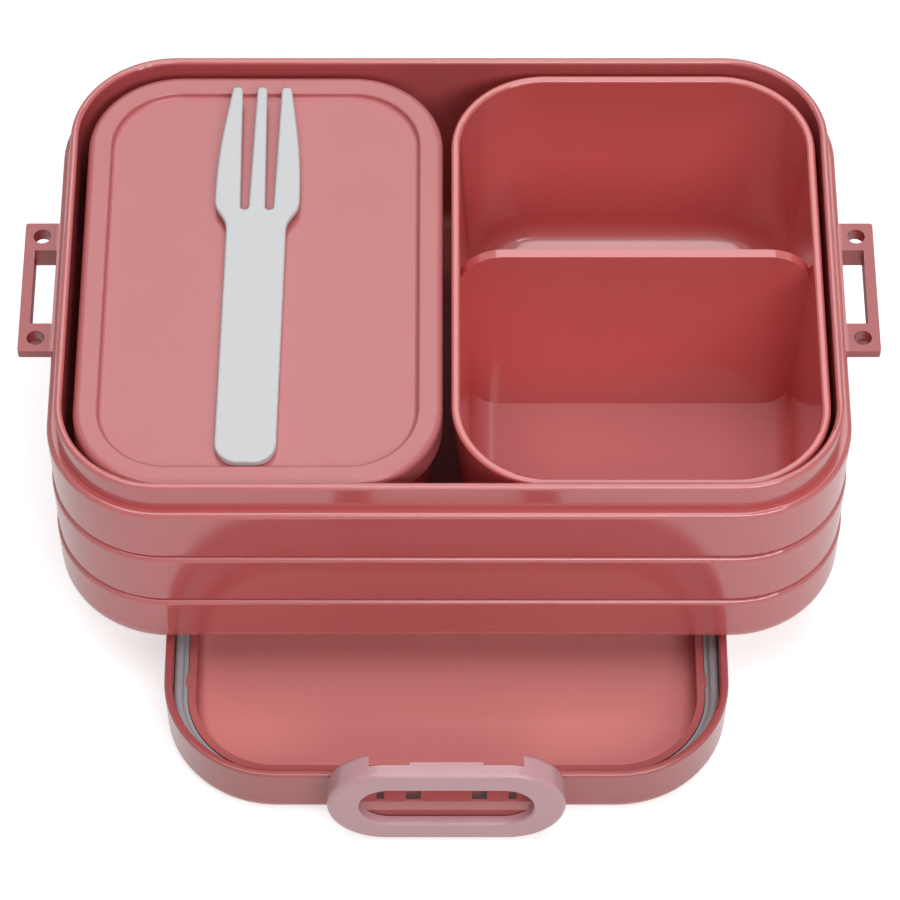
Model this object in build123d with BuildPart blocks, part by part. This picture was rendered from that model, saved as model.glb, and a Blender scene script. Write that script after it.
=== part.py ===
from build123d import *
import os
from math import radians, tan

os.makedirs("parts", exist_ok=True)

# Bento lunch box, taken apart for serving.  The lid lies upside down on the ground with
# its long side along Y, the container stands crosswise on the lid's edge with its long
# side along X, and the lidded inner box and the divided insert stand side by side in it.
# The fork lies on the inner box's lid.  Origin: on the ground, below the middle of the
# whole set.  +Z is up, -Y is the front.  All sizes in millimetres.

# ---- outline shared by the lid and the widest band of the container ----
outline_length = 169.0
outline_width = 121.0
outline_radius = 24.4

# ---- places of the loose pieces ----
lid_shift = -0.6  # lid centre along X
container_shift = 8.7  # container centre along Y
box_shift = -1.05  # how far forward the inner box has slid inside the container
insert_shift = -0.85  # how far forward the insert has slid

# ---- lid ----
lid_height = 15.0
lid_top_plate = 2.0
lid_wall = 1.8
lid_draft = 1.7  # degrees
lid_top_round = 4.0
lid_edge_round = 0.6
groove_width = 3.1
groove_floor = 5.0
rib_width = 1.6
rib_top = 9.0
tray_round = 3.0  # inner rounding where the rib meets the top plate
nub_length = 3.0
nub_reach = 0.5
nub_height = 1.2
nub_place = 56.5  # nubs' distance from the lid's middle, along its length

# ---- sealing ring ----
seal_side_play = 0.05
seal_bulb = 2.0  # width of the upper bulb
seal_lip = 2.9  # width of the lower lip
seal_top = 10.6
seal_lip_drop = 0.3  # lip's top below the rib's top
seal_round = 0.95

# ---- latch hinge: lug on the lid, stub pins on the latch ----
lug_width = 36.0
hinge_reach = 3.5  # hinge axis, outward from the lid's end
hinge_level = 5.3  # hinge axis above the ground
lug_nose = 1.5  # lug radius about the hinge axis
lug_top = 9.6
lug_root = 1.0  # how far the lug runs into the lid's wall
pin_radius = 0.9
pin_play = 0.05
pin_depth = 1.5
pin_end_play = 0.2
core_place_wide = 7.0
core_width_wide = 3.2
core_place_narrow = 14.0
core_width_narrow = 1.6
core_reach = 2.3
core_sink = 0.5

# ---- latch ----
latch_width = 50.3
latch_height = 24.8
latch_bottom = 1.6
latch_reach = 7.4  # outer face, outward from the lid's end
latch_depth = 3.0
latch_round = 1.1
ear_play = 1.0  # from each end of the container's ear to the finger slot
finger_slot_height = 13.2
finger_slot_round = 0.7
cheek_depth = 3.6
cheek_round = 1.5
cheek_overhang = 2.2  # how far the cheeks' upper parts reach in past the slot's ends
cheek_play = 0.3
lug_pocket = 0.8
tab_width = 16.0
tab_depth = 1.0
tab_height = 4.6

# ---- container ----
container_height = 56.0
container_floor = 2.0
rim_height = 7.3
rim_clearance = 0.15  # from the rim's outside to the lid's wall when closed
rim_wall = 1.75
rim_round = 0.8
band_height = 15.9
band_count = 3
band_draft = 1.5  # degrees
band_round = 1.05  # upper edge of each band
band_under_round = 0.7  # lower edge of each band
groove_depth = 1.3  # of the grooves between the bands
groove_gap = 0.5
foot_round = 5.8
cavity_draft = 0.5  # degrees
cavity_round = 4.0

# ---- catch ears on the container's short sides ----
ear_length = 34.8
ear_reach = 7.2
ear_drop = 0.3  # ear top below the ledge
ear_plate = 2.1
ear_block = 5.2
ear_slot_length = 19.9
ear_slot_width = 4.7
ear_bar = 2.3
ear_block_wall = 2.2
ear_hole_place = 13.8
ear_hole_reach = 3.5
ear_hole_radius = 1.9
ear_boss_radius = 2.7
ear_boss_height = 3.3
ear_corner = 0.6

# ---- boxes inside the container ----
box_drop = 1.8  # tops of both boxes below the container's rim
box_draft = 3.2  # degrees
box_foot_round = 4.0

inner_lid_width = 77.3
inner_lid_side_gap = 2.15  # from the container's inner wall, left
inner_lid_end_gap = 1.2  # from the container's inner wall, front and back
inner_lid_corner_ease = 0.7  # sharper than the container's inner corner
inner_lid_height = 6.4
inner_lid_skirt = 1.2
inner_lid_round = 1.5
border_width = 5.2
border_round = 0.5
recess_depth = 1.4
recess_round = 0.85
inner_lid_plate = 1.4
plug_wall = 1.2
plug_height = 3.0

inner_box_wall = 1.6
inner_box_floor = 1.6
lid_fit = 0.15

insert_side_gap = 1.0  # from the container's inner wall, right
insert_end_gap = 1.15  # from the container's inner wall, front and back
box_gap = 1.75  # between the inner box's lid and the insert
insert_wall = 1.9
insert_floor = 1.8
insert_rim_round = 0.7
divider_thickness = 2.1
divider_draft = 2.0  # degrees
divider_offset = 5.6  # divider's middle, behind the insert's middle
divider_drop = 0.3
divider_corner = 9.5
divider_root = 0.9
compartment_round = 6.5

# ---- fork ----
fork_end_gap = 0.6  # handle end, from the front edge of the recess
fork_tip_gap = 0.2  # tips, from the back edge of the recess
fork_thickness = 2.0
handle_width = 12.9
handle_corner = 4.9
handle_round = 0.5
head_width = 18.3
head_length = 38.7  # from the end of the straight handle to the tips
head_widest = 31.0  # before the tips
head_bend = 55.0  # where the handle starts to rise towards the head, before the tips
tine_length = 32.5
tip_spread = 5.35
tip_width = 2.2
tip_round = 0.9
tine_gap = 1.75
tine_lean = 0.13  # inward slope of the outer tines at their tips
tip_thickness = 1.2
fork_rise = 2.8
fork_tilt = 0.83  # degrees, clockwise seen from above
fork_side_shift = -2.4  # handle end, from the middle of the inner box's lid

# ---- levels and places that follow from the sizes above ----
lid_plane = Plane((lid_shift, 0, 0))
lid_end = outline_length / 2
container_plane = Plane((0, container_shift, lid_height))
ledge_level = container_height - rim_height
rim_inset = lid_wall + rim_clearance
stack_top = lid_height + container_height - box_drop
stack_floor = lid_height + container_floor
stack_height = stack_top - stack_floor
cavity_inset = rim_inset + rim_wall
cavity_half_length = outline_length / 2 - cavity_inset
cavity_half_width = outline_width / 2 - cavity_inset
cavity_radius = outline_radius - cavity_inset
box_y = container_shift + box_shift
insert_y = container_shift + insert_shift
inner_lid_length = 2 * (cavity_half_width - inner_lid_end_gap)
inner_lid_radius = cavity_radius - inner_lid_corner_ease
inner_lid_x = -cavity_half_length + inner_lid_side_gap + inner_lid_width / 2
insert_left = inner_lid_x + inner_lid_width / 2 + box_gap
insert_width = cavity_half_length - insert_side_gap - insert_left
insert_length = 2 * (cavity_half_width - insert_end_gap)
insert_radius = cavity_radius
insert_x = insert_left + insert_width / 2
recess_floor = stack_top - recess_depth
inner_lid_underside = recess_floor - inner_lid_plate


def rounded_plan(size_x, size_y, radius, inset, mode=Mode.ADD):
    """Draw a rounded plan outline, moved inward by inset, in the open sketch."""
    RectangleRounded(size_x - 2 * inset, size_y - 2 * inset, radius - inset, mode=mode)


def top_edges(part):
    """Edges of the highest face of a part that is being built."""
    return part.faces().sort_by(Axis.Z)[-1].edges()


def bottom_edges(part):
    """Edges of the lowest face of a part that is being built."""
    return part.faces().sort_by(Axis.Z)[0].edges()


def face_at(part, x, y, z):
    """The level face of a part that lies nearest to a point."""
    return part.faces().filter_by(Axis.Z).sort_by_distance((x, y, z))[0]


# ======== lid ========
with BuildPart() as lid:
    with BuildSketch(lid_plane.offset(lid_height)):
        rounded_plan(outline_width, outline_length, outline_radius, 0)
    extrude(amount=-lid_height, taper=lid_draft)
    fillet(bottom_edges(lid), lid_top_round)

    # space inside the wall, down to the top of the rib
    with BuildSketch(lid_plane.offset(lid_height)):
        rounded_plan(outline_width, outline_length, outline_radius, lid_wall)
    extrude(amount=-(lid_height - rib_top), mode=Mode.SUBTRACT)
    fillet(top_edges(lid), lid_edge_round)

    # groove for the sealing ring, between the wall and the rib
    with BuildSketch(lid_plane.offset(rib_top)):
        rounded_plan(outline_width, outline_length, outline_radius, lid_wall)
        rounded_plan(outline_width, outline_length, outline_radius, lid_wall + groove_width, Mode.SUBTRACT)
    extrude(amount=-(rib_top - groove_floor), mode=Mode.SUBTRACT)

    # tray inside the rib
    with BuildSketch(lid_plane.offset(rib_top)):
        rounded_plan(outline_width, outline_length, outline_radius, lid_wall + groove_width + rib_width)
    extrude(amount=-(rib_top - lid_top_plate), mode=Mode.SUBTRACT)
    fillet(face_at(lid, lid_shift, 0, lid_top_plate).edges(), tray_round)

    # nubs on the rib that keep the sealing ring in its groove
    nub_x = outline_width / 2 - lid_wall - groove_width
    with BuildSketch(lid_plane.offset(rib_top)):
        with GridLocations(2 * nub_x, 2 * nub_place, 2, 2):
            Rectangle(2 * nub_reach, nub_length)
    extrude(amount=-nub_height)

    # hinge lugs for the two latches
    for end in (-1, 1):
        lug_plane = Plane((lid_shift, end * lid_end, 0), x_dir=(0, end, 0), z_dir=(end, 0, 0))
        with BuildSketch(lug_plane):
            with Locations(((hinge_reach - lug_root) / 2, hinge_level)):
                Rectangle(hinge_reach + lug_root, 2 * lug_nose)
            with Locations((hinge_reach, hinge_level)):
                Circle(lug_nose)
            with Locations(((hinge_reach + lug_nose - lug_root) / 2, (hinge_level + lug_top) / 2)):
                Rectangle(hinge_reach + lug_nose + lug_root, lug_top - hinge_level)
        extrude(amount=lug_width / 2, both=True)
        for side in (-1, 1):
            socket_plane = Plane(
                (lid_shift + side * lug_width / 2, end * (lid_end + hinge_reach), hinge_level),
                x_dir=(0, 1, 0),
                z_dir=(side, 0, 0),
            )
            with BuildSketch(socket_plane):
                Circle(pin_radius + pin_play)
            extrude(amount=-(pin_depth + pin_end_play), mode=Mode.SUBTRACT)
            with BuildSketch(lid_plane):
                core_y = end * (lid_end + (core_reach - core_sink) / 2)
                with Locations((side * core_place_wide, core_y)):
                    Rectangle(core_width_wide, core_reach + core_sink)
                with Locations((side * core_place_narrow, core_y)):
                    Rectangle(core_width_narrow, core_reach + core_sink)
            extrude(amount=lid_height, mode=Mode.SUBTRACT)

lid.part.label = "lid"
export_step(lid.part, "parts/lid.step")

# ======== sealing ring ========
with BuildPart() as sealing_ring:
    seal_outer = lid_wall + seal_side_play
    seal_rise = seal_top - groove_floor
    lip_rise = rib_top - seal_lip_drop - groove_floor
    for seal_width, rise in ((seal_bulb, seal_rise), (seal_lip, lip_rise)):
        seal_inner = seal_outer + seal_width
        with BuildSketch(lid_plane.offset(groove_floor)):
            rounded_plan(outline_width, outline_length, outline_radius, seal_outer)
            rounded_plan(outline_width, outline_length, outline_radius, seal_inner, Mode.SUBTRACT)
        extrude(amount=rise)
    fillet(top_edges(sealing_ring), seal_round)

sealing_ring.part.label = "sealing_ring"
export_step(sealing_ring.part, "parts/sealing_ring.step")

# ======== latches ========
latch_middle = latch_bottom + latch_height / 2
finger_slot_width = ear_length + 2 * ear_play
cheek_inner = finger_slot_width / 2 - cheek_overhang
for end, latch_name in ((-1, "front_latch"), (1, "rear_latch")):
    face_plane = Plane(
        (lid_shift, end * (lid_end + latch_reach), 0), x_dir=(-end, 0, 0), z_dir=(0, end, 0)
    )
    back_plane = face_plane.offset(-latch_depth)
    out_axis = Axis((0, 0, 0), (0, end, 0))
    with BuildPart() as latch:
        # flat ring with a long finger slot
        with BuildSketch(face_plane):
            with Locations((0, latch_middle)):
                SlotOverall(latch_width, latch_height)
                SlotOverall(finger_slot_width, finger_slot_height, mode=Mode.SUBTRACT)
        extrude(amount=-latch_depth)
        ring_face = latch.faces().sort_by(out_axis)[-1]
        fillet(ring_face.outer_wire().edges(), latch_round)
        ring_face = latch.faces().sort_by(out_axis)[-1]
        fillet(ring_face.inner_wires()[0].edges(), finger_slot_round)

        # relief behind the lower bar, where it turns about the lug
        with BuildSketch(back_plane):
            with Locations((0, hinge_level)):
                Rectangle(lug_width + 2 * cheek_play, 2 * hinge_level)
        extrude(amount=lug_pocket, mode=Mode.SUBTRACT)

        # cheeks at both ends, which reach back beside the lug
        with BuildSketch(back_plane):
            with Locations((0, latch_middle)):
                SlotOverall(latch_width, latch_height)
                SlotOverall(finger_slot_width, finger_slot_height, mode=Mode.SUBTRACT)
                Rectangle(2 * cheek_inner, latch_height, mode=Mode.SUBTRACT)
            with Locations((0, latch_middle / 2)):
                Rectangle(lug_width + 2 * cheek_play, latch_middle, mode=Mode.SUBTRACT)
        extrude(amount=-cheek_depth)
        fillet(latch.faces().group_by(out_axis)[0].edges(), cheek_round)

        # thumb tab on the free bar
        tab_middle = latch_bottom + latch_height - tab_height / 2 - tab_depth / 2
        with BuildSketch(back_plane):
            with Locations((0, tab_middle)):
                RectangleRounded(tab_width, tab_height, tab_depth / 2)
        extrude(amount=-tab_depth)

        # stub pins that click into the lug's sockets
        for side in (-1, 1):
            pin_root = lid_shift + side * (lug_width / 2 + cheek_play)
            pin_plane = Plane(
                (pin_root, end * (lid_end + hinge_reach), hinge_level),
                x_dir=(0, 1, 0),
                z_dir=(-side, 0, 0),
            )
            with BuildSketch(pin_plane):
                Circle(pin_radius)
            extrude(amount=pin_depth + cheek_play)

    latch.part.label = latch_name
    export_step(latch.part, "parts/" + latch_name + ".step")

# ======== container ========
with BuildPart() as container:
    # three drafted bands, built from the foot up, each with rounded edges
    for band in reversed(range(band_count)):
        last = band == band_count - 1
        band_top = ledge_level - band * band_height
        band_foot = 0 if last else band_top - band_height + groove_gap
        with BuildSketch(container_plane.offset(band_top)):
            rounded_plan(outline_length, outline_width, outline_radius, 0)
        extrude(amount=band_foot - band_top, taper=band_draft)
        fillet(top_edges(container), band_round)
        band_under = face_at(container, 0, container_shift, lid_height + band_foot)
        fillet(band_under.edges(), foot_round if last else band_under_round)

    # wall behind the grooves, which joins the bands
    with BuildSketch(container_plane.offset(ledge_level)):
        rounded_plan(outline_length, outline_width, outline_radius, groove_depth)
    extrude(amount=foot_round - ledge_level)

    # rim that plugs into the lid
    with BuildSketch(container_plane.offset(ledge_level)):
        rounded_plan(outline_length, outline_width, outline_radius, rim_inset)
    extrude(amount=rim_height)

    # catch ears: thin end plates, and a deeper block round the slot
    ear_level = ledge_level - ear_drop
    ear_root = outline_length / 2 - rim_inset
    ear_tip = outline_length / 2 + ear_reach
    for side in (-1, 1):
        with BuildSketch(container_plane.offset(ear_level)):
            with Locations((side * (ear_root + ear_tip) / 2, 0)):
                RectangleRounded(ear_tip - ear_root, ear_length, ear_corner)
        extrude(amount=-ear_plate)
        with BuildSketch(container_plane.offset(ear_level)):
            with Locations((side * (ear_root + ear_tip) / 2, 0)):
                Rectangle(ear_tip - ear_root, ear_slot_length + 2 * ear_block_wall)
        extrude(amount=-ear_block)
        hole_x = side * (outline_length / 2 + ear_hole_reach)
        with BuildSketch(container_plane.offset(ear_level)):
            for hole_side in (-1, 1):
                with Locations((hole_x, hole_side * ear_hole_place)):
                    Circle(ear_boss_radius)
        extrude(amount=-ear_boss_height)
        slot_x = side * (ear_tip - ear_bar - ear_slot_width / 2)
        with BuildSketch(container_plane.offset(ear_level)):
            with Locations((slot_x, 0)):
                Rectangle(ear_slot_width, ear_slot_length)
        extrude(amount=-ear_block, mode=Mode.SUBTRACT)
        with BuildSketch(container_plane.offset(ear_level)):
            for hole_side in (-1, 1):
                with Locations((hole_x, hole_side * ear_hole_place)):
                    Circle(ear_hole_radius)
        extrude(amount=-ear_boss_height, mode=Mode.SUBTRACT)

    # hollow inside
    with BuildSketch(container_plane.offset(container_height)):
        rounded_plan(outline_length, outline_width, outline_radius, cavity_inset)
    extrude(amount=-(container_height - container_floor), taper=cavity_draft, mode=Mode.SUBTRACT)
    fillet(top_edges(container), rim_round)
    fillet(face_at(container, 0, container_shift, stack_floor).edges(), cavity_round)

container.part.label = "container"
export_step(container.part, "parts/container.step")

# ======== inner box ========
inner_box_inset = inner_lid_skirt + lid_fit
inner_box_top = inner_lid_underside
with BuildPart() as inner_box:
    with BuildSketch(Plane((inner_lid_x, box_y, inner_box_top))):
        rounded_plan(inner_lid_width, inner_lid_length, inner_lid_radius, inner_box_inset)
    extrude(amount=-(inner_box_top - stack_floor), taper=box_draft)
    fillet(bottom_edges(inner_box), box_foot_round)
    with BuildSketch(Plane((inner_lid_x, box_y, inner_box_top))):
        rounded_plan(inner_lid_width, inner_lid_length, inner_lid_radius, inner_box_inset + inner_box_wall)
    extrude(
        amount=-(inner_box_top - stack_floor - inner_box_floor), taper=box_draft, mode=Mode.SUBTRACT
    )
    inner_box_bottom = face_at(inner_box, inner_lid_x, box_y, stack_floor + inner_box_floor)
    fillet(inner_box_bottom.edges(), box_foot_round - inner_box_wall)

inner_box.part.label = "inner_box"
export_step(inner_box.part, "parts/inner_box.step")

# ======== inner box lid ========
with BuildPart() as inner_box_lid:
    with BuildSketch(Plane((inner_lid_x, box_y, stack_top))):
        rounded_plan(inner_lid_width, inner_lid_length, inner_lid_radius, 0)
    extrude(amount=-inner_lid_height)
    fillet(top_edges(inner_box_lid), inner_lid_round)

    # shallow recess inside the raised border
    with BuildSketch(Plane((inner_lid_x, box_y, stack_top))):
        rounded_plan(inner_lid_width, inner_lid_length, inner_lid_radius, border_width)
    extrude(amount=-recess_depth, mode=Mode.SUBTRACT)
    fillet(face_at(inner_box_lid, inner_lid_x, box_y, recess_floor).edges(), recess_round)
    border_top = inner_box_lid.faces().sort_by(Axis.Z)[-1]
    fillet(border_top.inner_wires()[0].edges(), border_round)

    # channel under the border that takes the inner box's rim, and the hollow inside it
    with BuildSketch(Plane((inner_lid_x, box_y, inner_lid_underside))):
        rounded_plan(inner_lid_width, inner_lid_length, inner_lid_radius, inner_lid_skirt)
    extrude(amount=-inner_lid_height, mode=Mode.SUBTRACT)
    plug_outside = inner_box_inset + inner_box_wall + lid_fit
    plug_inside = plug_outside + plug_wall
    with BuildSketch(Plane((inner_lid_x, box_y, inner_lid_underside))):
        rounded_plan(inner_lid_width, inner_lid_length, inner_lid_radius, plug_outside)
        rounded_plan(inner_lid_width, inner_lid_length, inner_lid_radius, plug_inside, Mode.SUBTRACT)
    extrude(amount=-plug_height, taper=box_draft)

inner_box_lid.part.label = "inner_box_lid"
export_step(inner_box_lid.part, "parts/inner_box_lid.step")

# ======== divided insert ========
insert_plane = Plane((insert_x, insert_y, stack_top))
divider_y = insert_y + divider_offset
divider_top = stack_top - divider_drop
divider_foot = stack_floor + insert_floor / 2
divider_rise = divider_top - divider_foot
half_top = insert_width / 2 - insert_wall
half_foot = half_top + divider_root - divider_rise * tan(radians(box_draft))
half_thin = divider_thickness / 2
half_thick = half_thin + divider_rise * tan(radians(divider_draft))
with BuildPart() as divider:
    # front view: large rounded top corners that die into the side walls
    with BuildSketch(Plane((insert_x, divider_y, 0), x_dir=(1, 0, 0), z_dir=(0, -1, 0))):
        with BuildLine():
            Polyline(
                (-half_foot, divider_foot),
                (half_foot, divider_foot),
                (half_top + divider_root, divider_top - divider_corner),
                (half_top, divider_top - divider_corner),
                close=False,
            )
            RadiusArc(
                (half_top, divider_top - divider_corner),
                (half_top - divider_corner, divider_top),
                -divider_corner,
            )
            Line((half_top - divider_corner, divider_top), (divider_corner - half_top, divider_top))
            RadiusArc(
                (divider_corner - half_top, divider_top),
                (-half_top, divider_top - divider_corner),
                -divider_corner,
            )
            Polyline(
                (-half_top, divider_top - divider_corner),
                (-half_top - divider_root, divider_top - divider_corner),
                (-half_foot, divider_foot),
                close=False,
            )
        make_face()
    extrude(amount=half_thick, both=True)

    # side view: thicker towards the foot
    with BuildSketch(Plane((insert_x, divider_y, 0), x_dir=(0, 1, 0), z_dir=(1, 0, 0))):
        Polygon(
            (-half_thick, divider_foot),
            (half_thick, divider_foot),
            (half_thin, divider_top),
            (-half_thin, divider_top),
            align=None,
        )
    extrude(amount=insert_width, both=True, mode=Mode.INTERSECT)

with BuildPart() as divided_insert:
    with BuildSketch(insert_plane):
        rounded_plan(insert_width, insert_length, insert_radius, 0)
    extrude(amount=-stack_height, taper=box_draft)
    fillet(bottom_edges(divided_insert), box_foot_round)
    with BuildSketch(insert_plane):
        rounded_plan(insert_width, insert_length, insert_radius, insert_wall)
    extrude(amount=-(stack_height - insert_floor), taper=box_draft, mode=Mode.SUBTRACT)
    insert_bottom = face_at(divided_insert, insert_x, insert_y, stack_floor + insert_floor)
    fillet(insert_bottom.edges(), compartment_round)
    add(divider.part)
    fillet(top_edges(divided_insert), insert_rim_round)

divided_insert.part.label = "divided_insert"
export_step(divided_insert.part, "parts/divided_insert.step")

# ======== fork ========
fork_x = inner_lid_x + fork_side_shift
fork_y = box_y - inner_lid_length / 2 + border_width + fork_end_gap
fork_plane = Plane((fork_x, fork_y, recess_floor)).rotated((0, 0, -fork_tilt))
half_handle = handle_width / 2
half_head = head_width / 2
half_tip = tip_width / 2
fork_length = inner_lid_length - 2 * border_width - fork_end_gap - fork_tip_gap
neck_start = fork_length - head_length
widest_place = fork_length - head_widest
bend_place = fork_length - head_bend
tine_root = fork_length - tine_length
with BuildPart() as fork:
    # plan outline: handle with a round end, waisted head and three tines
    with BuildSketch(fork_plane):
        with BuildLine():
            Line((0, 0), (half_handle - handle_corner, 0))
            CenterArc((half_handle - handle_corner, handle_corner), handle_corner, 270, 90)
            Line((half_handle, handle_corner), (half_handle, neck_start))
            Spline(
                (half_handle, neck_start),
                (half_head, widest_place),
                (tip_spread + half_tip, fork_length),
                tangents=[(0, 1), (0, 1), (-tine_lean, 1)],
            )
            Line((tip_spread + half_tip, fork_length), (0, fork_length))
            Line((0, fork_length), (0, 0))
        make_face()
        mirror(about=Plane.YZ)
        for side in (-1, 1):
            with BuildLine():
                Polyline(
                    (side * half_tip, fork_length),
                    (side * (tip_spread - half_tip), fork_length),
                    (side * (tip_spread + tine_gap) / 2, tine_root),
                    (side * (tip_spread - tine_gap) / 2, tine_root),
                    close=True,
                )
            make_face(mode=Mode.SUBTRACT)
            with Locations((side * tip_spread / 2, tine_root)):
                Circle(tine_gap / 2, mode=Mode.SUBTRACT)
    extrude(amount=fork_rise + 2 * fork_thickness)
    along_fork = Axis(fork_plane.origin, fork_plane.y_dir)
    tip_edges = fork.edges().filter_by(Axis.Z).group_by(along_fork)[-1]
    fillet(tip_edges, tip_round)

    # side profile: level handle, and a head that rises over the lid's border
    with BuildSketch(Plane(fork_plane.origin, x_dir=fork_plane.y_dir, z_dir=fork_plane.x_dir)):
        with BuildLine():
            Line((0, 0), (bend_place, 0))
            Spline((bend_place, 0), (fork_length, fork_rise), tangents=[(1, 0), (1, 0)])
            Line((fork_length, fork_rise), (fork_length, fork_rise + tip_thickness))
            Spline(
                (fork_length, fork_rise + tip_thickness),
                (bend_place, fork_thickness),
                tangents=[(-1, 0), (-1, 0)],
            )
            Line((bend_place, fork_thickness), (0, fork_thickness))
            Line((0, fork_thickness), (0, 0))
        make_face()
    extrude(amount=head_width, both=True, mode=Mode.INTERSECT)

    # softened edges under and on the handle
    for face_place in (0, -1):
        handle_face = fork.faces().filter_by(Axis.Z).sort_by(Axis.Z)[face_place]
        handle_edges = handle_face.edges().filter_by_position(along_fork, -1, bend_place - 1)
        fillet(handle_edges, handle_round)

fork.part.label = "fork"
export_step(fork.part, "parts/fork.step")
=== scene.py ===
"""Finishes, studio and camera for a bento lunch box that is taken apart for serving.

The lid lies upside down on the table and carries the container, which holds a lidded
inner box, a divided insert and a fork.  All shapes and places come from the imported
frame; this script gives every moulding its finish and lights the set.
"""

from __future__ import annotations

import logging
import math
from dataclasses import dataclass
from enum import Enum

import bpy
from mathutils import Matrix, Vector

LOG = logging.getLogger("lunch_box")
MM = 0.001

Colour = tuple[float, float, float]
Point = tuple[float, float, float]

# Sockets of a Mix node that mixes colours: the first, the second and the result.
FIRST_COLOUR, SECOND_COLOUR, MIXED_COLOUR = 6, 7, 2

# Upward share of a face's normal where the face begins to count as level, and where it
# counts in full.
SLOPING, LEVEL = 0.35, 0.90

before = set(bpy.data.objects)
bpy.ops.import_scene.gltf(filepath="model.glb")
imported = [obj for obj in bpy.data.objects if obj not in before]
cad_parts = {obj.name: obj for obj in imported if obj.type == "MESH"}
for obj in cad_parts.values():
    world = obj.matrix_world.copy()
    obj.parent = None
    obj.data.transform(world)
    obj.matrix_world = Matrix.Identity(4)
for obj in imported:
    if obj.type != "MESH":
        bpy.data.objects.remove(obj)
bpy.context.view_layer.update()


def add_maths(
    tree: bpy.types.NodeTree, operation: str, *terms: float | bpy.types.NodeSocket
) -> bpy.types.NodeSocket:
    """Add a Math node.

    Args:
        tree: The node tree that it joins.
        operation: What it works out.
        terms: Its inputs in order, each a plain number or a socket.

    Returns:
        The socket with the result.
    """
    node = tree.nodes.new("ShaderNodeMath")
    node.operation = operation
    for socket, term in zip(node.inputs, terms):
        if isinstance(term, float):
            socket.default_value = term
        else:
            tree.links.new(term, socket)
    return node.outputs[0]


def add_ramp(
    tree: bpy.types.NodeTree,
    value: bpy.types.NodeSocket,
    start: float,
    full: float,
    low: float = 0.0,
    high: float = 1.0,
) -> bpy.types.NodeSocket:
    """Add a Map Range node, level outside its range and even inside it.

    Args:
        tree: The node tree that it joins.
        value: The socket that it follows.
        start: Value where the ramp begins.
        full: Value where it ends.
        low: Result at the start and before it.
        high: Result at the end and beyond it.

    Returns:
        The socket with the result.
    """
    node = tree.nodes.new("ShaderNodeMapRange")
    node.inputs["From Min"].default_value = start
    node.inputs["From Max"].default_value = full
    node.inputs["To Min"].default_value = low
    node.inputs["To Max"].default_value = high
    tree.links.new(value, node.inputs["Value"])
    return node.outputs["Result"]


def add_noise(
    tree: bpy.types.NodeTree, place: bpy.types.Node, size: float, detail: float
) -> bpy.types.NodeSocket:
    """Add a Noise Texture that is fixed to the moulding.

    Args:
        tree: The node tree that it joins.
        place: Texture coordinates of the moulding.
        size: Size of its blotches in metres.
        detail: How many finer layers it has.

    Returns:
        The socket with the result.
    """
    node = tree.nodes.new("ShaderNodeTexNoise")
    node.inputs["Scale"].default_value = 1.0 / size
    node.inputs["Detail"].default_value = detail
    tree.links.new(place.outputs["Object"], node.inputs["Vector"])
    return node.outputs["Fac"]


class Gloss(Enum):
    """How a mould was polished: roughness, its spread, and the depth of the grain in mm."""

    POLISHED = (0.13, 0.03, 0.0025)
    SHINY = (0.20, 0.04, 0.003)
    SATIN = (0.30, 0.05, 0.006)
    MATTE = (0.55, 0.08, 0.012)


class Axis(Enum):
    """Direction along which a zone is measured, as the index of its coordinate."""

    ACROSS = 0
    UP = 2


@dataclass(frozen=True)
class PaintedLightZone:
    """A stretch of a moulding where light or shade is painted into its colour, and which may
    be rougher.

    Attributes:
        paint: Linear colour there, painted light or painted shade.
        axis: Direction along which the zone is measured.
        start: Distance from the origin along the axis where the zone sets in.
        full: Distance where it has set in fully.
        dulling: Roughness added there.
        level: True when only faces that look upwards belong to it.
    """

    paint: Colour
    axis: Axis
    start: float
    full: float
    dulling: float = 0.0
    level: bool = True

    def share(self, tree: bpy.types.NodeTree, place: bpy.types.Node) -> bpy.types.NodeSocket:
        """Add the nodes that say how far a point belongs to the zone.

        Args:
            tree: Node tree of the moulding's material.
            place: Texture coordinates of the moulding.

        Returns:
            A socket that runs from 0 outside the zone to 1 inside it.
        """
        where = tree.nodes.new("ShaderNodeSeparateXYZ")
        tree.links.new(place.outputs["Object"], where.inputs[0])
        away = add_maths(tree, "ABSOLUTE", where.outputs[self.axis.value])
        inside = add_ramp(tree, away, self.start, self.full)
        if not self.level:
            return inside
        facing = tree.nodes.new("ShaderNodeSeparateXYZ")
        tree.links.new(place.outputs["Normal"], facing.inputs[0])
        upward = add_ramp(tree, facing.outputs["Z"], SLOPING, LEVEL)
        return add_maths(tree, "MULTIPLY", inside, upward)

    def lay_over(
        self,
        tree: bpy.types.NodeTree,
        place: bpy.types.Node,
        colour: bpy.types.NodeSocket,
        roughness: bpy.types.NodeSocket,
    ) -> tuple[bpy.types.NodeSocket, bpy.types.NodeSocket]:
        """Lay the zone's painted light or shade and its added roughness over the moulding's
        colour and roughness so far.

        Args:
            tree: Node tree of the moulding's material.
            place: Texture coordinates of the moulding.
            colour: Its colour so far.
            roughness: Its roughness so far.

        Returns:
            The colour and the roughness with the zone.
        """
        share = self.share(tree, place)
        repaint = tree.nodes.new("ShaderNodeMix")
        repaint.data_type = "RGBA"
        repaint.inputs[SECOND_COLOUR].default_value = (*self.paint, 1.0)
        tree.links.new(share, repaint.inputs["Factor"])
        tree.links.new(colour, repaint.inputs[FIRST_COLOUR])
        dulled = add_maths(tree, "MULTIPLY_ADD", share, self.dulling, roughness)
        return repaint.outputs[MIXED_COLOUR], dulled


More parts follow.
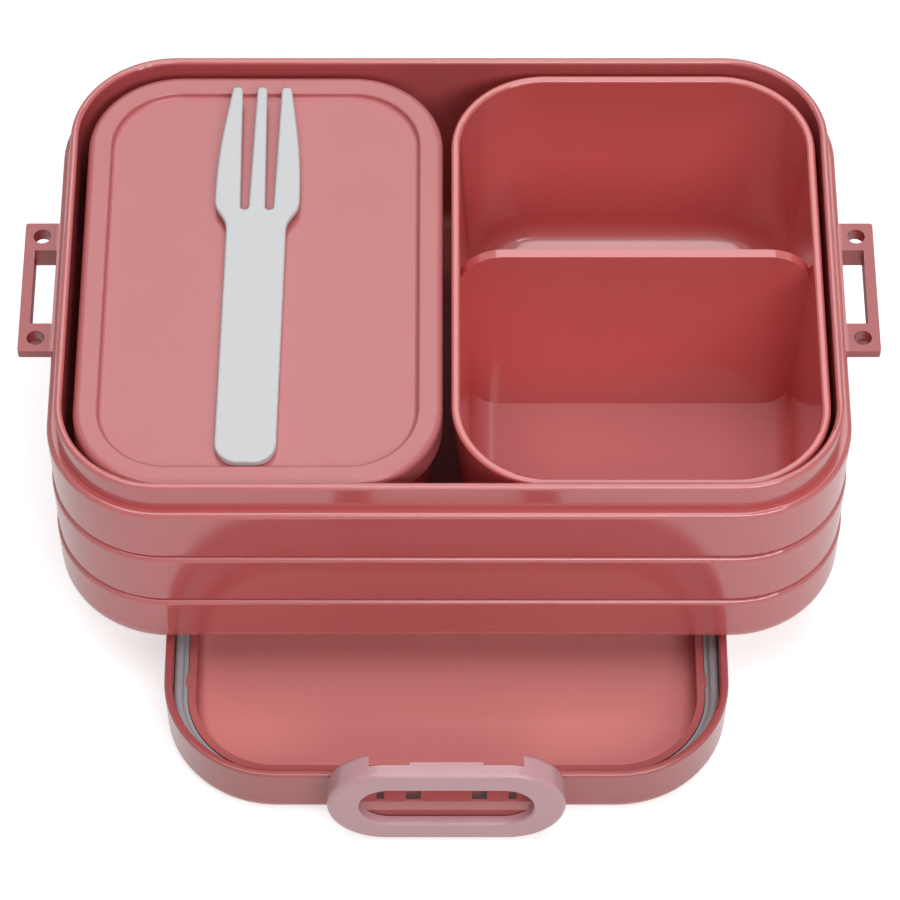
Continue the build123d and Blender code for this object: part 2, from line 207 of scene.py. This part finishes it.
@dataclass(frozen=True)
class Moulding:
    """Injection-moulded plastic with a faint flow mottle and a fine mould grain.

    Attributes:
        name: Name of the material.
        light: Linear colour of the paler flow streaks.
        deep: Linear colour of the deeper ones.
        gloss: How the mould was polished.
        mottle: Size of the flow streaks in metres.
        haze: Size of the blotches in the polish, as a share of the streaks' size.
        grain: Size of the mould grain in metres.
        specular: Specular level of the surface.
        coat: Weight of the clear skin over the plastic.
        coat_roughness: Roughness of that skin.
        subsurface: Share of light that enters the plastic, from 0 to 1.
        subsurface_depth: How far it travels inside, in metres.
        subsurface_tint: How far red, green and blue travel, as shares of that depth.
        painted_light_zones: Stretches where light or shade is painted into the colour, some
            also rougher.
    """

    name: str
    light: Colour
    deep: Colour
    gloss: Gloss = Gloss.POLISHED
    mottle: float = 0.045
    haze: float = 0.25
    grain: float = 0.0006
    specular: float = 0.5
    coat: float = 0.0
    coat_roughness: float = 0.06
    subsurface: float = 0.0
    subsurface_depth: float = 0.002
    subsurface_tint: Colour = (1.0, 0.35, 0.3)
    painted_light_zones: tuple[PaintedLightZone, ...] = ()

    def make(self) -> bpy.types.Material:
        """Build the node material.

        Returns:
            The finished material.
        """
        material = bpy.data.materials.new(self.name)
        material.use_nodes = True
        tree = material.node_tree
        tree.nodes.clear()
        place = tree.nodes.new("ShaderNodeTexCoord")
        mean, spread, depth = self.gloss.value

        streaks = add_noise(tree, place, self.mottle, detail=4.0)
        tint = tree.nodes.new("ShaderNodeMix")
        tint.data_type = "RGBA"
        tint.inputs[FIRST_COLOUR].default_value = (*self.deep, 1.0)
        tint.inputs[SECOND_COLOUR].default_value = (*self.light, 1.0)
        tree.links.new(streaks, tint.inputs["Factor"])
        blotches = add_noise(tree, place, self.mottle * self.haze, detail=3.0)
        colour = tint.outputs[MIXED_COLOUR]
        roughness = add_ramp(tree, blotches, 0.0, 1.0, mean - spread, mean + spread)
        # Painted light and painted shade from the zones go over the streaked colour here.
        for zone in self.painted_light_zones:
            colour, roughness = zone.lay_over(tree, place, colour, roughness)

        grain = add_noise(tree, place, self.grain, detail=2.0)
        bump = tree.nodes.new("ShaderNodeBump")
        bump.inputs["Distance"].default_value = depth * MM
        tree.links.new(grain, bump.inputs["Height"])

        shader = tree.nodes.new("ShaderNodeBsdfPrincipled")
        shader.inputs["Specular IOR Level"].default_value = self.specular
        shader.inputs["Coat Weight"].default_value = self.coat
        shader.inputs["Coat Roughness"].default_value = self.coat_roughness
        shader.inputs["Subsurface Weight"].default_value = self.subsurface
        shader.inputs["Subsurface Scale"].default_value = self.subsurface_depth
        shader.inputs["Subsurface Radius"].default_value = self.subsurface_tint
        output = tree.nodes.new("ShaderNodeOutputMaterial")
        tree.links.new(colour, shader.inputs["Base Color"])
        tree.links.new(roughness, shader.inputs["Roughness"])
        tree.links.new(bump.outputs["Normal"], shader.inputs["Normal"])
        tree.links.new(shader.outputs["BSDF"], output.inputs["Surface"])
        return material


BOX_ROSE = Moulding(
    "box_rose",
    light=(0.600, 0.122, 0.124),
    deep=(0.575, 0.112, 0.114),
    specular=1.0,
    painted_light_zones=(
        # Painted shade: everything past 84 mm from the middle across, chiefly the ears at
        # the ends, is painted a deeper rose; it is also rougher there.
        PaintedLightZone(
            paint=(0.36, 0.048, 0.053),
            axis=Axis.ACROSS,
            start=0.0840,
            full=0.0852,
            dulling=0.25,
            level=False,
        ),
        # Painted shade: upward faces below 30 mm, the container's inner floor seen in the
        # gap between the boxes, are painted deeper; they are also rougher.
        PaintedLightZone(
            paint=(0.45, 0.075, 0.075),
            axis=Axis.UP,
            start=0.0300,
            full=0.0250,
            dulling=0.50,
        ),
    ),
)
LID_ROSE = Moulding(
    "lid_rose",
    # Painted shade: the lid's rose is painted deeper than the container's, for the shade on
    # its walls.
    light=(0.450, 0.092, 0.094),
    deep=(0.428, 0.084, 0.086),
    gloss=Gloss.SHINY,
    coat=0.4,
    # Painted light: upward faces below 10 mm, the upturned lid's inner floor, are painted
    # much paler, a painted sheen.
    painted_light_zones=(PaintedLightZone(paint=(0.800, 0.290, 0.280), axis=Axis.UP, start=0.0100, full=0.0060),),
)
INSERT_ROSE = Moulding(
    "insert_rose",
    light=(0.672, 0.128, 0.126),
    deep=(0.648, 0.116, 0.114),
    gloss=Gloss.SHINY,
    coat=1.0,
    # Painted light: upward faces below 36 mm, the floors of the insert's compartments and of
    # the inner box, are painted paler, a painted sheen.
    painted_light_zones=(PaintedLightZone(paint=(0.665, 0.215, 0.220), axis=Axis.UP, start=0.0360, full=0.0300),),
)
INNER_LID_ROSE = Moulding(
    "inner_lid_rose",
    light=(0.560, 0.150, 0.155),
    deep=(0.535, 0.138, 0.143),
    gloss=Gloss.SATIN,
    coat=0.3,
)
LATCH_PINK = Moulding(
    "latch_pink",
    light=(0.62, 0.35, 0.38),
    deep=(0.59, 0.33, 0.36),
    gloss=Gloss.SATIN,
    coat=0.3,
)
FORK_WHITE = Moulding(
    "fork_white",
    light=(0.67, 0.68, 0.69),
    deep=(0.64, 0.65, 0.66),
    gloss=Gloss.SATIN,
    subsurface=0.1,
)
SEAL_GREY = Moulding(
    "seal_grey",
    light=(0.40, 0.42, 0.44),
    deep=(0.36, 0.38, 0.40),
    gloss=Gloss.MATTE,
    mottle=0.02,
)


def dress(node: str, material: bpy.types.Material) -> None:
    """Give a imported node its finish.

    Args:
        node: Name of the node.
        material: The finish.
    """
    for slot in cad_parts[node].material_slots:
        slot.material = material
    LOG.info("dressed %s in %s", node, material.name)


@dataclass
class LidSet:
    """The upturned lid, its sealing ring and its two swing latches."""

    shell: Moulding = LID_ROSE
    ring: Moulding = SEAL_GREY
    latch: Moulding = LATCH_PINK

    def build(self) -> None:
        """Dress the lid, the ring and the latches."""
        dress("lid", self.shell.make())
        dress("sealing_ring", self.ring.make())
        latch_finish = self.latch.make()
        for node in ("front_latch", "rear_latch"):
            dress(node, latch_finish)


@dataclass
class ContainerSet:
    """The banded container, the divided insert and the inner box with its lid."""

    shell: Moulding = BOX_ROSE
    box: Moulding = INSERT_ROSE
    lid: Moulding = INNER_LID_ROSE

    def build(self) -> None:
        """Dress the container and the boxes inside it."""
        dress("container", self.shell.make())
        box_finish = self.box.make()
        for node in ("divided_insert", "inner_box"):
            dress(node, box_finish)
        dress("inner_box_lid", self.lid.make())


@dataclass
class Fork:
    """The three-tined fork on the inner box's lid."""

    finish: Moulding = FORK_WHITE

    def build(self) -> None:
        """Dress the fork."""
        dress("fork", self.finish.make())


@dataclass(frozen=True)
class SoftBox:
    """A studio lamp with an oblong soft front.

    Attributes:
        name: Name of the lamp.
        place: Where it stands, in metres.
        aim: The point it faces.
        size: Width and height of its front.
        power: Radiant power in watts.
    """

    name: str
    place: Point
    aim: Point
    size: tuple[float, float]
    power: float

    def hang(self) -> None:
        """Add the lamp to the scene."""
        data = bpy.data.lights.new(self.name, "AREA")
        data.shape = "RECTANGLE"
        data.size, data.size_y = self.size
        data.energy = self.power
        lamp = bpy.data.objects.new(self.name, data)
        bpy.context.collection.objects.link(lamp)
        place = Vector(self.place)
        facing = (Vector(self.aim) - place).to_track_quat("-Z", "Y")
        lamp.matrix_world = Matrix.Translation(place) @ facing.to_matrix().to_4x4()
        LOG.info("hung %s", self.name)


OVERHEAD_LAMP = SoftBox(
    "overhead", place=(0.0, -0.10, 1.35), aim=(0.0, 0.0, 0.05), size=(1.2, 1.0), power=9.6
)
REAR_LAMP = SoftBox(
    "rear", place=(0.05, 0.80, 1.15), aim=(0.0, 0.02, 0.05), size=(0.9, 0.5), power=3.0
)
FRONT_LAMP = SoftBox(
    "front", place=(0.42, -1.08, 0.98), aim=(0.0, 0.0, 0.05), size=(1.0, 0.5), power=9.2
)


@dataclass
class Studio:
    """Pale floor, even daylight, soft lamps and the camera.

    Attributes:
        floor_size: Side of the floor in metres.
        floor_paint: Reflectance of its paint.
        floor_lift: Brightness that the camera sees on top of the paint, near the set.
        floor_white: The same far from the set.
        floor_near: Distance from the set's middle where it starts to rise, in metres.
        floor_far: Distance where it has risen fully.
        floor_mirrored: Share of it that shows in reflections.
        daylight: Strength of the even daylight on the set.
        sheen: Strength of the daylight in reflections.
        backdrop: Strength of the daylight that the camera sees past the floor.
        camera_place: Where the camera stands, in metres.
        camera_drop: How far it looks down, in degrees.
        lens: Its focal length in mm.
        sensor: Width of its sensor in mm.
        lamps: The soft boxes.
    """

    floor_size: float = 6.0
    floor_paint: float = 0.80
    floor_lift: float = 0.60
    floor_white: float = 1.0
    floor_near: float = 0.35
    floor_far: float = 1.10
    floor_mirrored: float = 0.55
    daylight: float = 0.10
    sheen: float = 1.0
    backdrop: float = 1.0
    camera_place: Point = (0.00017, -0.58639, 0.82287)
    camera_drop: float = 54.0
    lens: float = 179.81
    sensor: float = 36.0
    lamps: tuple[SoftBox, ...] = (OVERHEAD_LAMP, REAR_LAMP, FRONT_LAMP)

    def lay_floor(self) -> None:
        """Lay the pale floor."""
        bpy.ops.object.select_all(action="DESELECT")
        bpy.ops.mesh.primitive_plane_add(size=self.floor_size, location=(0.0, 0.0, 0.0))
        floor = bpy.context.active_object
        floor.name = "studio_floor"
        floor.data.materials.append(self.mix_floor_paint())
        LOG.info("laid the floor")

    def mix_floor_paint(self) -> bpy.types.Material:
        """Build the floor's paint, which looks white to the camera and keeps shadows.

        Returns:
            The finished material.
        """
        material = bpy.data.materials.new("floor_paint")
        material.use_nodes = True
        tree = material.node_tree
        tree.nodes.clear()

        place = tree.nodes.new("ShaderNodeTexCoord")
        away = tree.nodes.new("ShaderNodeVectorMath")
        away.operation = "LENGTH"
        tree.links.new(place.outputs["Object"], away.inputs[0])
        lift = add_ramp(
            tree,
            away.outputs["Value"],
            self.floor_near,
            self.floor_far,
            low=self.floor_lift,
            high=self.floor_white,
        )
        glow = tree.nodes.new("ShaderNodeEmission")
        tree.links.new(lift, glow.inputs["Strength"])
        paint = tree.nodes.new("ShaderNodeBsdfDiffuse")
        paint.inputs["Color"].default_value = (self.floor_paint,) * 3 + (1.0,)
        lifted = tree.nodes.new("ShaderNodeAddShader")
        tree.links.new(paint.outputs[0], lifted.inputs[0])
        tree.links.new(glow.outputs[0], lifted.inputs[1])

        ray = tree.nodes.new("ShaderNodeLightPath").outputs
        mirrored = add_maths(tree, "MULTIPLY", ray["Is Glossy Ray"], self.floor_mirrored)
        seen = add_maths(tree, "MAXIMUM", ray["Is Camera Ray"], mirrored)
        seen = add_maths(tree, "MAXIMUM", seen, ray["Is Transmission Ray"])
        choose = tree.nodes.new("ShaderNodeMixShader")
        tree.links.new(seen, choose.inputs[0])
        tree.links.new(paint.outputs[0], choose.inputs[1])
        tree.links.new(lifted.outputs[0], choose.inputs[2])
        output = tree.nodes.new("ShaderNodeOutputMaterial")
        tree.links.new(choose.outputs[0], output.inputs["Surface"])
        return material

    def let_in_daylight(self) -> None:
        """Set the even daylight, white to the camera and in reflections."""
        world = bpy.data.worlds.new("daylight")
        bpy.context.scene.world = world
        world.use_nodes = True
        tree = world.node_tree
        tree.nodes.clear()
        strength = self.daylight
        ray = tree.nodes.new("ShaderNodeLightPath").outputs
        for kind, level in (("Is Camera Ray", self.backdrop), ("Is Glossy Ray", self.sheen)):
            strength = add_maths(
                tree, "MULTIPLY_ADD", ray[kind], level - self.daylight, strength
            )
        sky = tree.nodes.new("ShaderNodeBackground")
        tree.links.new(strength, sky.inputs["Strength"])
        output = tree.nodes.new("ShaderNodeOutputWorld")
        tree.links.new(sky.outputs[0], output.inputs["Surface"])
        LOG.info("let in the daylight")

    def place_camera(self) -> None:
        """Stand the camera in front of the set, looking down on it."""
        data = bpy.data.cameras.new("camera")
        data.sensor_width = self.sensor
        data.lens = self.lens
        camera = bpy.data.objects.new("camera", data)
        bpy.context.collection.objects.link(camera)
        camera.location = self.camera_place
        camera.rotation_euler = (math.radians(90.0 - self.camera_drop), 0.0, 0.0)
        bpy.context.scene.camera = camera
        LOG.info("placed the camera")

    def build(self) -> None:
        """Set up the studio."""
        self.lay_floor()
        self.let_in_daylight()
        for lamp in self.lamps:
            lamp.hang()
        self.place_camera()
        bpy.context.scene.view_settings.view_transform = "Standard"


def main() -> None:
    """Build the set piece by piece."""
    logging.basicConfig(level=logging.INFO, format="%(message)s")
    for part in (Studio(), LidSet(), ContainerSet(), Fork()):
        part.build()
        LOG.info("finished %s", type(part).__name__)


if __name__ == "__main__":
    main()
